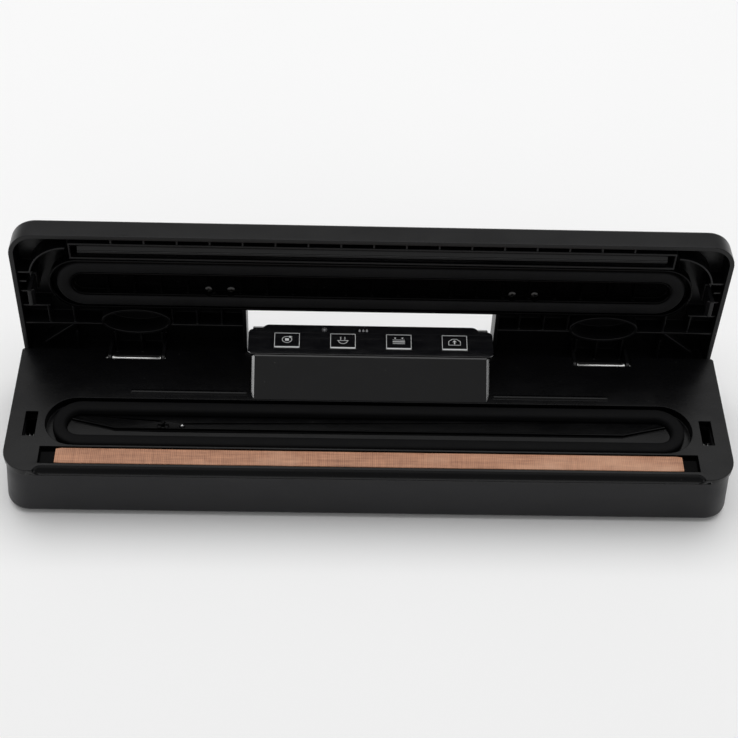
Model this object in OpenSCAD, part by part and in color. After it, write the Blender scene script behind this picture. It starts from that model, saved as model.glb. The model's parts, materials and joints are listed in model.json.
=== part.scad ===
// Slim vacuum sealer for bag rolls, with its lid standing open.
// Every part is drawn round the hinge line: X runs along the body, Y points to the rear, and
// Z = 0 is the deck, the top face of the body. Lid parts are drawn closed and then swung open.

/* [Body] */
// Overall width of the body and the lid
body_w = 370; // [350:1:390]
// Distance from the hinge line to the front edge
front_reach = 79.2; // [79:0.2:84]
// Height of the deck above the surface that the feet stand on
deck_h = 37.2; // [36:0.2:44]
// Radius of the two front corners
corner_r = 13.5; // [12:0.5:16]
// How far each end of the body leans outward below the deck
end_flare = 3.5; // [0:0.5:4]
// Wall thickness of the mouldings
wall = 2.5; // [2.2:0.1:2.8]
// Height of the rubber feet
foot_h = 2; // [1.5:0.5:3]

/* [Lid] */
// Angle between the closed and the open lid
open_angle = 95; // [90:1:100]
// Height of the lid from its rim to its top face
lid_t = 14.5; // [14:0.5:18]
// Distance of the hinge pins below the deck
hinge_drop = 5; // [4.5:0.5:5.5]

/* [Vacuum trough] */
// Depth of the trough below the deck
trough_d = 5; // [4.5:0.5:5.5]
// Distance from the hinge line to the middle of the trough
trough_y = 47; // [46:0.5:48]
// Outer half width of the gasket rings, front to back
gasket_r = 14.5; // [14:0.1:14.8]
// Width of the gasket rings' section
gasket_w = 6.6; // [6:0.1:7]

/* [Heating strip] */
// Distance from the hinge line to the middle of the heating strip
strip_y = 68.85; // [68.7:0.05:69]
// Visible width of the woven tape
tape_w = 9.7; // [9:0.1:9.9]

/* [Control console] */
// Width of the console's body
console_w = 124.6; // [122:0.2:126]
// Tilt of the control panel towards the user
panel_tilt = 6; // [4:0.5:8]
// Width of one key
key_w = 14.2; // [12:0.1:15]
// Depth of one key, front to back
key_d = 10.4; // [9:0.1:11]
// Distance between the middles of neighbouring keys
key_pitch = 29.4; // [28:0.1:30]

/* [Hidden] */
$fn = 64;
e = 0.05;
half_w = body_w / 2;
floor_z = foot_h - deck_h;
ledge_z = -14;
deck_rear = 2;
body_rear = 14;
rim_t = 3.8;
deck_t = 2.5;
side_inset = 1;
rear_corner_r = 8;
skirt_front = deck_rear - 2.5;

// Trough, gaskets and heating strip
trough_half = half_w - 18.5;
trough_r = 15.4;
pan_bottom = -trough_d - 1.5;
gasket_half = half_w - 22;
tray_half = gasket_half - gasket_w - 0.5;
tray_r = gasket_r - gasket_w - 0.5;
tray_t = 1;
rail_y = -trough_y - 1.9;
rail_half = half_w - 54;
rail_t = 1;
rail_h = 2.5;
channel_half = half_w - 18;
channel_w = 10.5;
channel_d = 4.6;
strip_half = half_w - 26.2;
tape_t = 0.25;
tape_top = -0.3;
bar_gap = 0.5;
wire_w = 3;
wire_t = 0.2;
wire_leg = strip_half - 0.9;
wire_tab_z = -3.4;
nozzle_x = -half_w + 78.3;
nozzle_y = -trough_y + 0.6;
sensor_x = nozzle_x + 9.8;

// Latches
slot_x = half_w - 11.2;
slot_w = 6.3;
slot_y = -49;
slot_l = 15.8;
latch_top = pan_bottom - 0.5;
latch_t = 1.6;
latch_edge = slot_x - 1.95;
button_out = half_w + 0.4;
button_w = 16;
button_h = 6.4;
button_z = latch_top - latch_t / 2 - 1;
hook_t = 2;
hook_l = 10;
hook_y = -47;
spring_z = button_z - 5;

// Hinge
pin_r = 1.5;
lug_r = 3.4;
pocket_r = 4.4;
pocket_in = half_w - 76.2;
pocket_out = half_w - 44.8;
lug_t = 1.8;
pin_seat = 2;
lid_rear = 5.5;
rim_gap = 0.5;
lid_top_in = lid_t - 2.2;

// Console
console_half = console_w / 2;
console_front = -30.8;
panel_y = -2;
panel_z = 14.9;
panel_half = console_half + 2.1;
panel_d = 19;
panel_t = 2;
key_gap = 0.25;
key_stem = 2.4;
board_drop = 8;
notch_half = console_half + 3.5;
notch_front = -32.5;

// Screws, pump and electrics
housing_screw_spots = [for (s = [-1, 1]) each [
    [s * (half_w - 11), -67],
    [s * (half_w - 11), -13],
    [s * (half_w - 72), -13]
]];
boss_r = 3.5;
pilot_r = 1.3;
screw_seat = floor_z + 6;
pump_x = -60;
pump_y = -14;
pump_z = floor_z + wall + 12.2;
motor_r = 11.5;
motor_l = 32;
shaft_r = 1.15;
head_l = 23.5;
inlet_x = -118;
inlet_z = (floor_z + ledge_z) / 2;
pin_gap = 4.3;
board_z = floor_z + wall + 2.5;
board_t = 1.6;
power_x = 92;
power_y = -41;
board_screws_at = [for (x = [-40, 40], y = [-18, 18]) [power_x + x, power_y + y]];
panel_screws_at = [[-52, 0], [52, 0]];
screw_r = 1.2;
valve_x = -128;
valve_y = -22;

// Lid parts
lid_edge_r = 3;
oval_at = [half_w - 61, -20.6];
oval_long = 18.4;
oval_short = 8.7;
frame_half = half_w - 18.2;
frame_r = 16.2;
lid_screw_spots = [for (s = [-1, 1], x = [73.4, 85]) [s * x, -41.8]];

// The open lid reaches furthest back at the top of its front edge, and the origin lies midway
// between there and the front of the body.
lid_back = (lid_t + hinge_drop) * sin(open_angle)
    - (front_reach + 0.2 - lid_edge_r) * cos(open_angle);
hinge_y = (front_reach - lid_back) / 2;

// Frames

module body_frame() {
    translate([0, hinge_y, deck_h]) children();
}

module lid_frame() {
    body_frame()
        translate([0, 0, -hinge_drop])
            rotate([-open_angle, 0, 0])
                translate([0, 0, hinge_drop]) children();
}

module panel_frame() {
    body_frame() translate([0, panel_y, panel_z]) rotate([panel_tilt, 0, 0]) children();
}

module both_sides() {
    children();
    mirror([1, 0, 0]) children();
}

// Shared shapes

// Box given by its lowest corner and its highest corner
module block(lo, hi) {
    translate(lo) cube(hi - lo);
}

// Rounded rectangle from y0 to y1, with one radius at the front and one at the rear
module outline(w, y0, y1, front_r, rear_r) {
    h = w / 2;
    polygon([
        [-h + front_r, y0], [h - front_r, y0], [h, y0 + front_r], [h, y1 - rear_r],
        [h - rear_r, y1], [-h + rear_r, y1], [-h, y1 - rear_r], [-h, y0 + front_r]
    ]);
    for (s = [-1, 1]) {
        translate([s * (h - front_r), y0 + front_r]) circle(front_r);
        translate([s * (h - rear_r), y1 - rear_r]) circle(rear_r);
    }
}

module prism(z0, z1) {
    translate([0, 0, z0]) linear_extrude(z1 - z0) children();
}

// Stadium along X: half is the half length to the end, r the half width
module stadium(half, r) {
    square([2 * (half - r), 2 * r], center = true);
    for (s = [-1, 1]) translate([s * (half - r), 0]) circle(r);
}

module stadium_ring(half, r, t) {
    difference() {
        stadium(half, r);
        stadium(half - t, r - t);
    }
}

// Section of a slab's edge: k deep, from 0 to h, its upper outer corner rounded by f
module edge_section(r, k, h, f) {
    polygon([
        [r - k, 0], [r, 0],
        for (a = [0 : 22.5 : 90]) [r - f + f * cos(a), h - f + f * sin(a)],
        [r - k, h]
    ]);
}

// Slab with the outline above, its top edge rounded by f
module soft_slab(w, y0, y1, front_r, rear_r, h, f) {
    k = f + 0.6;
    hw = w / 2;
    prism(0, h) outline(w - 2 * k + e, y0 + k - e, y1 - k + e, front_r - k, rear_r - k);
    for (s = [0, 1]) mirror([s, 0, 0]) {
        translate([hw - front_r, y0 + front_r, 0]) rotate([0, 0, -90])
            rotate_extrude(angle = 90) edge_section(front_r, k, h, f);
        translate([hw - rear_r, y1 - rear_r, 0])
            rotate_extrude(angle = 90) edge_section(rear_r, k, h, f);
        translate([0, y1 - rear_r, 0]) rotate([90, 0, 0])
            linear_extrude(y1 - rear_r - y0 - front_r) edge_section(hw, k, h, f);
    }
    translate([-hw + front_r, 0, 0]) rotate([90, 0, 90]) linear_extrude(w - 2 * front_r)
        mirror([1, 0]) edge_section(-y0, k, h, f);
    translate([-hw + rear_r, 0, 0]) rotate([90, 0, 90]) linear_extrude(w - 2 * rear_r)
        edge_section(y1, k, h, f);
}

// Ring along a stadium: the section is drawn with x measured from the middle line
module stadium_sweep(half, r) {
    for (s = [0, 1]) mirror([s, 0, 0]) {
        translate([half - r, 0, 0]) rotate([0, 0, -90]) rotate_extrude(angle = 180) children();
        rotate([90, 0, 90]) linear_extrude(half - r) children();
        rotate([90, 0, 90]) linear_extrude(half - r) mirror([1, 0]) children();
    }
}

// Soft ring section, its top corners rounded
module gasket_section(h) {
    f = 1.6;
    translate([gasket_r - gasket_w, 0]) {
        square([gasket_w, h - f]);
        translate([f, 0]) square([gasket_w - 2 * f, h]);
        translate([f, h - f]) circle(f);
        translate([gasket_w - f, h - f]) circle(f);
    }
}

function unit(v) = v / norm(v);

// Ring of points round one place on a path, square to the path there
function ring(at, along, r, sides) =
    let(
        ref = abs(along.z) > 0.8 ? [1, 0, 0] : [0, 0, 1],
        side = unit(cross(along, ref)),
        up = cross(side, along)
    )
    [for (i = [0 : sides - 1])
        at + r * (cos(360 * i / sides) * side + sin(360 * i / sides) * up)];

// Round bar of radius r along a path of points
module tube(path, r, sides = 8) {
    n = len(path);
    rings = [for (i = [0 : n - 1])
        let(along = unit(path[min(i + 1, n - 1)] - path[max(i - 1, 0)]))
        each ring(path[i], along, r, sides)];
    walls = [for (i = [0 : n - 2], j = [0 : sides - 1])
        let(k = (j + 1) % sides, a = i * sides, b = a + sides)
        each [[a + j, b + j, b + k], [a + j, b + k, a + k]]];
    start = [for (j = [0 : sides - 1]) j];
    end = [for (j = [sides - 1 : -1 : 0]) (n - 1) * sides + j];
    polyhedron(rings, concat(walls, [start, end]));
}

// Smooth curve through four control points
function bend(a, b, c, d, steps) = [for (i = [0 : steps])
    let(t = i / steps, u = 1 - t)
    u * u * u * a + 3 * u * u * t * b + 3 * u * t * t * c + t * t * t * d];

// Coil spring along Z, from 0 to h
module coil_spring(h, r, wire_r, turns) {
    steps = 12 * turns;
    tube(
        [for (i = [0 : steps])
            [r * cos(30 * i), r * sin(30 * i), wire_r + (h - 2 * wire_r) * i / steps]],
        wire_r, 6
    );
}

// Body shells

module scoop() {
    scoop_r = 4.2;
    scoop_half = half_w - 20;
    translate([0, -front_reach - 0.8, 0.4]) {
        rotate([0, 90, 0]) cylinder(h = 2 * scoop_half, r = scoop_r, center = true);
        for (s = [-1, 1]) translate([s * scoop_half, 0, 0]) sphere(scoop_r);
    }
}

// Thin slice of the body at one height, drawn in by inset all round
module housing_layer(z, inset, rear, rear_r) {
    flare = end_flare * (-rim_t - z) / (-rim_t - floor_z);
    prism(z, z + e) outline(body_w - 2 * side_inset + 2 * flare - 2 * inset,
        -front_reach + 0.4 + inset, rear, corner_r - 0.5 - inset, rear_r);
}

module housing_solid() {
    lower_edge_r = 2.5;
    difference() {
        hull() {
            housing_layer(-rim_t - e, 0, body_rear, rear_corner_r);
            for (a = [0 : 22.5 : 90]) {
                inset = lower_edge_r * (1 - cos(a));
                housing_layer(floor_z + lower_edge_r * (1 - sin(a)), inset,
                    body_rear - inset, rear_corner_r - inset);
            }
        }
        block([-body_w, skirt_front - 0.2, ledge_z], [body_w, body_rear + 1, 1]);
    }
}

module housing_hollow() {
    hull() {
        housing_layer(floor_z + wall, wall, skirt_front, 0.5);
        housing_layer(0, wall, skirt_front, 0.5);
    }
    hull() {
        housing_layer(floor_z + wall, wall, body_rear - wall, rear_corner_r - wall);
        housing_layer(ledge_z - wall - e, wall, body_rear - wall, rear_corner_r - wall);
    }
}

module foot_spots() {
    for (x = [-half_w + 28, half_w - 28], y = [-front_reach + 14, body_rear - 13])
        translate([x, y, 0]) children();
}

module bottom_housing() {
    inlet_w = 19.4;
    inlet_h = 11.4;
    vent_pitch = 7;
    color([0.09, 0.09, 0.1]) body_frame() difference() {
        union() {
            difference() {
                housing_solid();
                housing_hollow();
            }
            for (p = housing_screw_spots)
                translate([p.x, p.y, floor_z + e]) cylinder(h = 9, r = boss_r + 1.5);
            for (p = board_screws_at)
                translate([p.x, p.y, floor_z + e]) cylinder(h = board_z - floor_z - e, r = 3);
            both_sides() block([half_w - 19, -52, floor_z + wall - e],
                [half_w - 17, -42, spring_z + 2.5]);
        }
        for (p = board_screws_at)
            translate([p.x, p.y, floor_z + 1]) cylinder(h = 8, r = screw_r + 0.05);
        for (p = housing_screw_spots) translate([p.x, p.y, 0]) {
            translate([0, 0, floor_z - 1]) cylinder(h = 7, r = 3.2);
            translate([0, 0, floor_z]) cylinder(h = 20, r = 1.7);
        }
        both_sides() block(
            [half_w - 6, slot_y - button_w / 2 - 0.3, button_z - button_h / 2 - 0.3],
            [half_w + 1, slot_y + button_w / 2 + 0.3, button_z + button_h / 2 + 0.3]);
        block([inlet_x - inlet_w / 2, body_rear - wall - 1, inlet_z - inlet_h / 2],
            [inlet_x + inlet_w / 2, body_rear + 1, inlet_z + inlet_h / 2]);
        for (i = [-4 : 4]) block([i * vent_pitch - 1.2, -55, floor_z - 1],
            [i * vent_pitch + 1.2, -35, floor_z + wall + 1]);
        foot_spots() translate([0, 0, floor_z - e]) cylinder(h = 0.8 + e, r = 6.6);
    }
}

module trough_place() {
    translate([0, -trough_y, 0]) children();
}

module deck_solid() {
    ridge_r = 1.6;
    prism(-deck_t, 0) outline(body_w, -front_reach, deck_rear, corner_r, 1.5);
    difference() {
        prism(-rim_t, -e) outline(body_w, -front_reach, deck_rear, corner_r, 1.5);
        prism(-rim_t - 1, 0)
            outline(body_w - 7, -front_reach + 3.4, deck_rear - 2, corner_r - 3.4, 0.5);
    }
    block([-half_w, skirt_front, ledge_z + 0.1], [half_w, deck_rear, -1]);
    trough_place() prism(pan_bottom, -1) stadium(trough_half + 1.8, trough_r + 1.6);
    block([-channel_half - 1.8, -strip_y - channel_w / 2 - 1.4, -channel_d - 1.5],
        [channel_half + 1.8, -strip_y + channel_w / 2 + 1.4, -1]);
    both_sides() block([pocket_in - pin_seat - 1, -pocket_r - 2.6, -hinge_drop - pocket_r - 2],
        [pocket_out + pin_seat + 1, deck_rear, -1]);
    both_sides() translate([half_w - 120.5, -27, 0.9 - ridge_r]) rotate([0, 90, 0])
        cylinder(h = 60, r = ridge_r);
    for (p = housing_screw_spots)
        translate([p.x, p.y, screw_seat + 3.2]) cylinder(h = -screw_seat - 5, r = boss_r);
}

module deck_cover() {
    color([0.06, 0.06, 0.065]) body_frame() difference() {
        deck_solid();
        trough_place() prism(-trough_d, 1) stadium(trough_half, trough_r);
        block([-channel_half, -strip_y - channel_w / 2, -channel_d],
            [channel_half, -strip_y + channel_w / 2, 1]);
        both_sides() {
            block([slot_x - slot_w / 2, slot_y - slot_l / 2, -10],
                [slot_x + slot_w / 2, slot_y + slot_l / 2, 1]);
            block([pocket_in, -pocket_r, -hinge_drop - pocket_r],
                [pocket_out, deck_rear + 1, 1]);
            translate([pocket_in - pin_seat, 0, -hinge_drop]) rotate([0, 90, 0])
                cylinder(h = pocket_out - pocket_in + 2 * pin_seat, r = pin_r);
        }
        block([-console_half + 3, console_front + 3, -deck_t - 1],
            [console_half - 3, skirt_front - 1, 1]);
        translate([nozzle_x, nozzle_y, pan_bottom - 1]) cylinder(h = 4, r = 2);
        translate([sensor_x, nozzle_y, pan_bottom - 1]) cylinder(h = 4, r = 1);
        for (p = housing_screw_spots)
            translate([p.x, p.y, screw_seat]) cylinder(h = 16, r = pilot_r);
        scoop();
    }
}

module feet() {
    color([0.12, 0.12, 0.12]) body_frame() foot_spots()
        translate([0, 0, -deck_h]) cylinder(h = foot_h + 0.8, r = 6.5);
}

module housing_screws() {
    color("silver") body_frame() for (p = housing_screw_spots) translate([p.x, p.y, 0]) {
        translate([0, 0, screw_seat - 2]) cylinder(h = 2, r = 2.8);
        translate([0, 0, screw_seat - e]) cylinder(h = 14, r = pilot_r - 0.05);
    }
}

module hinge_pins() {
    color("silver") body_frame() both_sides()
        translate([pocket_in - pin_seat, 0, -hinge_drop]) rotate([0, 90, 0])
            cylinder(h = pocket_out - pocket_in + 2 * pin_seat, r = pin_r);
}

// Console and keys

module console_side(inset) {
    top = panel_z - panel_t - 0.6;
    polygon([
        [console_front + inset * 1.6, inset > 0 ? -1 : 0],
        [-12.2 + inset * 0.5, 13.4 - inset],
        [6.2, top + 2.1 - inset],
        [9.6 - inset, top - 0.4 - inset],
        [12 - inset, ledge_z + 0.2],
        [deck_rear + 0.2, ledge_z + 0.2],
        [deck_rear + 0.2, inset > 0 ? -1 : 0]
    ]);
}

module console_prism(half, inset) {
    translate([-half, 0, 0]) rotate([90, 0, 90]) linear_extrude(2 * half)
        console_side(inset);
}

// Square bar that takes a chamfer off each side of the sloping front
module front_chamfers(c) {
    slope = atan2(13.4, -12.2 - console_front);
    both_sides() translate([console_half, console_front, 0]) rotate([slope, 0, 0])
        rotate([0, 45, 0]) cube([c * sqrt(2), 60, c * sqrt(2)], center = true);
    translate([0, -12.2, 13.4]) rotate([slope / 2, 0, 0])
        block([-body_w, -10, -0.22], [body_w, 10, 10]);
}

module control_console() {
    color([0.07, 0.07, 0.075]) difference() {
        union() {
            difference() {
                body_frame() console_prism(console_half, 0);
                body_frame() console_prism(console_half - wall, wall);
            }
            panel_frame() for (p = panel_screws_at)
                translate([p.x, p.y, -board_drop]) cylinder(h = board_drop - panel_t - 0.5, r = 2.8);
        }
        body_frame() front_chamfers(1.7);
        panel_frame() {
            block([-panel_half, -panel_d / 2 - 0.15, -panel_t], [panel_half, panel_d, 10]);
            for (i = [0 : 3]) key_place(i)
                translate([0, 0, -board_drop]) cylinder(h = board_drop, r = key_stem + 0.3);
            light_spots() translate([0, 0, -board_drop]) cylinder(h = board_drop, r = 1.2);
            for (p = panel_screws_at)
                translate([p.x, p.y, -board_drop - 1]) cylinder(h = 5.2, r = screw_r + 0.05);
        }
    }
}

// Panel with a shelf behind each rear corner
module panel_outline() {
    shelf = 7;
    outline(2 * panel_half - 2 * shelf, -panel_d / 2, panel_d / 2, 2, 4);
    outline(2 * panel_half, -panel_d / 2, panel_d / 2 - 3, 2, 2.5);
}

module key_place(i) {
    translate([(i - 1.5) * key_pitch, -0.9, 0]) children();
}

module light_spots() {
    for (x = [-29.2, -8.8]) translate([x, 6.4, 0]) children();
}

module control_panel() {
    color([0.02, 0.02, 0.022]) panel_frame() difference() {
        prism(-panel_t + 0.05, 0) panel_outline();
        for (i = [0 : 3]) key_place(i)
            cube([key_w + 2 * key_gap, key_d + 2 * key_gap, 10], center = true);
        light_spots() cylinder(h = 10, r = 0.85, center = true);
    }
}

module key(i) {
    color([0.03, 0.03, 0.032]) panel_frame() key_place(i) {
        prism(-1.2, 0.35) square([key_w, key_d], center = true);
        translate([0, 0, -board_drop + 3.3]) cylinder(h = board_drop - 4.4, r = key_stem);
    }
}

module auto_stop_key() { key(0); }
module food_key() { key(1); }
module seal_key() { key(2); }
module vacuum_key() { key(3); }

module indicator_lights() {
    color([0.8, 0.85, 0.9]) panel_frame() light_spots()
        translate([0, 0, -panel_t]) cylinder(h = panel_t + 0.1, r = 0.8);
}

module control_board() {
    color([0.05, 0.25, 0.12]) panel_frame() difference() {
        block([-56, -7.6, -board_drop - board_t], [56, 7.6, -board_drop]);
        for (p = panel_screws_at)
            translate([p.x, p.y, -board_drop - 3]) cylinder(h = 5, r = screw_r + 0.3);
    }
}

module key_switches() {
    color([0.2, 0.2, 0.22]) panel_frame() for (i = [0 : 3]) key_place(i)
        prism(-board_drop, -board_drop + 2.6) square(6, center = true);
}

module status_leds() {
    color("white") panel_frame() light_spots()
        translate([0, 0, -board_drop]) cylinder(h = 4, r = 1);
}

// Sealing parts

module lower_gasket() {
    color([0.15, 0.15, 0.155]) body_frame() translate([0, -trough_y, -trough_d + 0.1])
        stadium_sweep(gasket_half, gasket_r) gasket_section(trough_d - 0.35);
}

// Bag stop rail, its two ends bent towards the rear
module rail_outline() {
    rise = 5.6;
    tip = half_w - 31.5;
    bends = [[-tip, rise], [-rail_half, 0], [rail_half, 0], [tip, rise]];
    polygon([
        for (p = bends) [p.x, p.y - rail_t / 2],
        for (i = [3 : -1 : 0]) [bends[i].x, bends[i].y + rail_t / 2]
    ]);
}

module drip_tray() {
    color([0.05, 0.05, 0.055]) body_frame() difference() {
        union() {
            trough_place() prism(-trough_d + 0.05, -trough_d + tray_t)
                stadium(tray_half, tray_r);
            translate([0, rail_y, 0]) prism(-trough_d + 0.5, -trough_d + rail_h) rail_outline();
        }
        translate([nozzle_x, nozzle_y, -trough_d - 1]) cylinder(h = 5, r = 2.75);
        translate([sensor_x, nozzle_y, -trough_d - 1]) cylinder(h = 5, r = 1.3);
    }
}

module suction_nozzle() {
    color([0.1, 0.1, 0.1]) body_frame() translate([nozzle_x, nozzle_y, 0]) difference() {
        union() {
            translate([0, 0, -trough_d]) cylinder(h = 1.8, r = 2.7);
            translate([0, 0, -16]) cylinder(h = 16 - trough_d + e, r = 1.95);
        }
        translate([0, 0, -17]) cylinder(h = 20, r = 1.1);
        for (a = [0 : 60 : 120]) rotate(a)
            translate([-5, -0.45, -trough_d + 0.9]) cube([10, 0.9, 3]);
    }
}

module vacuum_sensor() {
    color("silver") body_frame() translate([sensor_x, nozzle_y, 0]) {
        translate([0, 0, -12]) cylinder(h = 12 - trough_d + 1.3, r = 0.9);
        translate([0, 0, -trough_d + 1.3]) sphere(0.9);
        prism(-17, -11.9) square([7, 8], center = true);
    }
}

module heater_bar() {
    color([0.75, 0.72, 0.66]) body_frame() translate([0, -strip_y, 0])
        block([-wire_leg + 0.3, -tape_w / 2 + 0.45, -channel_d + 0.1],
            [wire_leg - 0.3, tape_w / 2 - 0.45, tape_top - 0.5]);
}

// Flat ribbon over the bar, bent down at each end to a tab in its clamp
module heating_wire() {
    low = tape_top - 0.5;
    color("silver") body_frame() translate([0, -strip_y, 0]) {
        block([-wire_leg, -wire_w / 2, low], [wire_leg, wire_w / 2, low + wire_t]);
        both_sides() {
            block([wire_leg - wire_t, -wire_w / 2, wire_tab_z], [wire_leg, wire_w / 2, low + e]);
            block([wire_leg - e, -wire_w / 2, wire_tab_z],
                [strip_half + 4, wire_w / 2, wire_tab_z + wire_t]);
        }
    }
}

module seal_tape() {
    color([0.80, 0.58, 0.45]) body_frame() translate([0, -strip_y, 0]) difference() {
        block([-strip_half, -tape_w / 2, -channel_d + 0.6], [strip_half, tape_w / 2, tape_top]);
        block([-strip_half - 1, -tape_w / 2 + tape_t, -channel_d],
            [strip_half + 1, tape_w / 2 - tape_t, tape_top - tape_t]);
    }
}

module wire_clamps() {
    color([0.1, 0.1, 0.1]) body_frame() both_sides() translate([0, -strip_y, 0]) difference() {
        block([strip_half + 0.5, -3.4, -channel_d + 0.1],
            [channel_half - 0.5, 3.4, wire_tab_z + 1]);
        block([strip_half, -wire_w / 2 - 0.05, wire_tab_z - 0.05],
            [strip_half + 4.2, wire_w / 2 + 0.05, wire_tab_z + wire_t + 0.05]);
    }
}

// Latches

module latch() {
    x_out = half_w - 6.2;
    difference() {
        block([latch_edge - 2, slot_y - 12, latch_top - latch_t],
            [x_out, slot_y + 12, latch_top]);
        block([latch_edge, slot_y - 9, latch_top - latch_t - 1],
            [x_out - 1, slot_y + 9, latch_top + 1]);
    }
}

module release_button() {
    back = half_w - 6.2;
    block([back, slot_y - button_w / 2 - 1.5, button_z - button_h / 2 - 4.5],
        [half_w - side_inset - wall - 0.2, slot_y + button_w / 2 + 1.5,
            button_z + button_h / 2 + 0.8]);
    block([back, slot_y - button_w / 2, button_z - button_h / 2],
        [button_out - 0.8, slot_y + button_w / 2, button_z + button_h / 2]);
    block([back, slot_y - button_w / 2 + 0.8, button_z - button_h / 2 + 0.8],
        [button_out, slot_y + button_w / 2 - 0.8, button_z + button_h / 2 - 0.8]);
}

module latch_spring() {
    start = half_w - 17;
    translate([start, hook_y, spring_z]) rotate([0, 90, 0])
        coil_spring(half_w - 6.2 - start, 1.8, 0.25, 5);
}

module right_latch() { color([0.08, 0.08, 0.09]) body_frame() latch(); }
module left_latch() { color([0.08, 0.08, 0.09]) body_frame() mirror([1, 0, 0]) latch(); }
module right_release_button() { color([0.09, 0.09, 0.1]) body_frame() release_button(); }
module left_release_button() {
    color([0.09, 0.09, 0.1]) body_frame() mirror([1, 0, 0]) release_button();
}
module right_latch_spring() { color("silver") body_frame() latch_spring(); }
module left_latch_spring() { color("silver") body_frame() mirror([1, 0, 0]) latch_spring(); }

module lid_switches() {
    color([0.1, 0.1, 0.12]) body_frame() both_sides() {
        block([half_w - 34, -56, -20], [half_w - 28, -36, -10]);
        block([half_w - 32, -52, -10.1], [half_w - 30, -50, -8.6]);
    }
}

// Pump, valve and hoses

module along_pump(x) {
    translate([pump_x + x, pump_y, pump_z]) rotate([0, 90, 0]) children();
}

module pump_motor() {
    color("silver") body_frame() difference() {
        union() {
            along_pump(0) cylinder(h = motor_l, r = motor_r);
            along_pump(motor_l - e) cylinder(h = 3, r = 4);
        }
        along_pump(-1) cylinder(h = motor_l - 3, r = shaft_r + 0.05);
    }
}

module pump_shaft() {
    color("silver") body_frame() {
        along_pump(-9) cylinder(h = 30, r = shaft_r);
        along_pump(-7) difference() {
            cylinder(h = 4, r = 6);
            translate([0, 4, -1]) cylinder(h = 6, r = 1.2);
        }
    }
}

module pump_head() {
    color([0.15, 0.15, 0.16]) body_frame() difference() {
        block([pump_x - head_l, pump_y - 12, pump_z - 11.5],
            [pump_x - 0.3, pump_y + 12, pump_z + 11.5]);
        along_pump(-10.5) cylinder(h = 12, r = 7.5);
        along_pump(-head_l - 1) cylinder(h = 6, r = 2.05);
    }
}

module pump_mounts() {
    color([0.12, 0.12, 0.12]) body_frame() for (x = [6, motor_l - 10]) difference() {
        translate([pump_x + x, pump_y - 8, floor_z + wall]) cube([5, 16, 7]);
        along_pump(-2) cylinder(h = 50, r = motor_r + 0.02);
    }
}

module release_valve() {
    color([0.16, 0.2, 0.35]) body_frame() translate([valve_x, valve_y, 0]) difference() {
        prism(floor_z + wall, -16) square([16, 13], center = true);
        translate([0, 0, -28]) cylinder(h = 20, r = 2);
    }
}

module valve_plunger() {
    color("silver") body_frame() translate([valve_x, valve_y, 0]) {
        translate([0, 0, -26]) cylinder(h = 15.4, r = 1.95);
        translate([0, 0, -11]) cylinder(h = 1.2, r = 3.4);
    }
}

module valve_spring() {
    color("silver") body_frame() translate([valve_x, valve_y, -16])
        coil_spring(4.95, 2.7, 0.25, 4);
}

module air_hoses() {
    head_in = [pump_x - head_l - 0.7, pump_y, pump_z];
    stem = [nozzle_x, nozzle_y, -16.8];
    side_port = [valve_x, valve_y - 6.6, -24];
    color([0.8, 0.8, 0.78]) body_frame() {
        tube(bend(stem, stem + [0, 0, -12], head_in + [-18, 0, 0], head_in, 16), 2.4);
        tube(bend([nozzle_x - 2.5, nozzle_y + 1, -24], [nozzle_x - 12, nozzle_y + 1, -25],
            side_port + [0, -12, 0], side_port, 12), 1.8);
    }
}

// Power and control electrics

module power_board() {
    color([0.55, 0.42, 0.2]) body_frame() difference() {
        block([power_x - 44, power_y - 22, board_z], [power_x + 44, power_y + 22, board_z + board_t]);
        for (p = board_screws_at)
            translate([p.x, p.y, board_z - 1]) cylinder(h = board_t + 2, r = screw_r + 0.3);
    }
}

module transformer() {
    top = board_z + board_t;
    color([0.9, 0.8, 0.2]) body_frame() translate([power_x + 6, power_y, 0]) {
        block([-11, -10, top], [11, 10, top + 15]);
        block([-13, -7, top], [13, 7, top + 13]);
    }
}

module smoothing_capacitor() {
    color([0.1, 0.12, 0.3]) body_frame()
        translate([power_x - 30, power_y + 4, board_z + board_t]) cylinder(h = 16, r = 7.5);
}

module power_components() {
    top = board_z + board_t;
    color([0.2, 0.2, 0.2]) body_frame() translate([power_x, power_y, 0]) {
        block([-36, -18, top], [-20, -12, top + 9]);
        block([24, -15, top], [36, -6, top + 12]);
        for (x = [-16, -12]) translate([x, 8, top]) cylinder(h = 8, r = 1.8);
        block([26, 4, top], [30, 18, top + 14]);
    }
}

// Pan head screw standing on Z = 0, its shank going down
module board_screw(length) {
    cylinder(h = 1.3, r = 2.3);
    translate([0, 0, -length]) cylinder(h = length + e, r = screw_r);
}

module board_screws() {
    color("silver") {
        body_frame() for (p = board_screws_at) translate([p.x, p.y, board_z + board_t])
            board_screw(5.5);
        panel_frame() for (p = panel_screws_at) translate([p.x, p.y, -board_drop - board_t])
            mirror([0, 0, 1]) board_screw(5);
    }
}

module mains_inlet() {
    color([0.05, 0.05, 0.05]) body_frame() translate([inlet_x, body_rear, inlet_z])
        rotate([90, 0, 0]) translate([0, 0, -0.2]) difference() {
            linear_extrude(17) square([19, 11], center = true);
            translate([0, 0, -1]) linear_extrude(13.5) stadium(8, 3.9);
            for (x = [-pin_gap, pin_gap]) translate([x, 0, 0]) cylinder(h = 18, r = 1.25);
        }
}

module inlet_pins() {
    color("silver") body_frame() for (s = [-1, 1])
        translate([inlet_x + s * pin_gap, body_rear - 3, inlet_z]) rotate([90, 0, 0])
            cylinder(h = 13, r = 1.2);
}

// Lid

module lid_hollow() {
    prism(-1, lid_top_in)
        outline(body_w - 2 * wall, -front_reach - 0.2 + wall, lid_rear - wall, corner_r - wall, 2.6);
}

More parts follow.
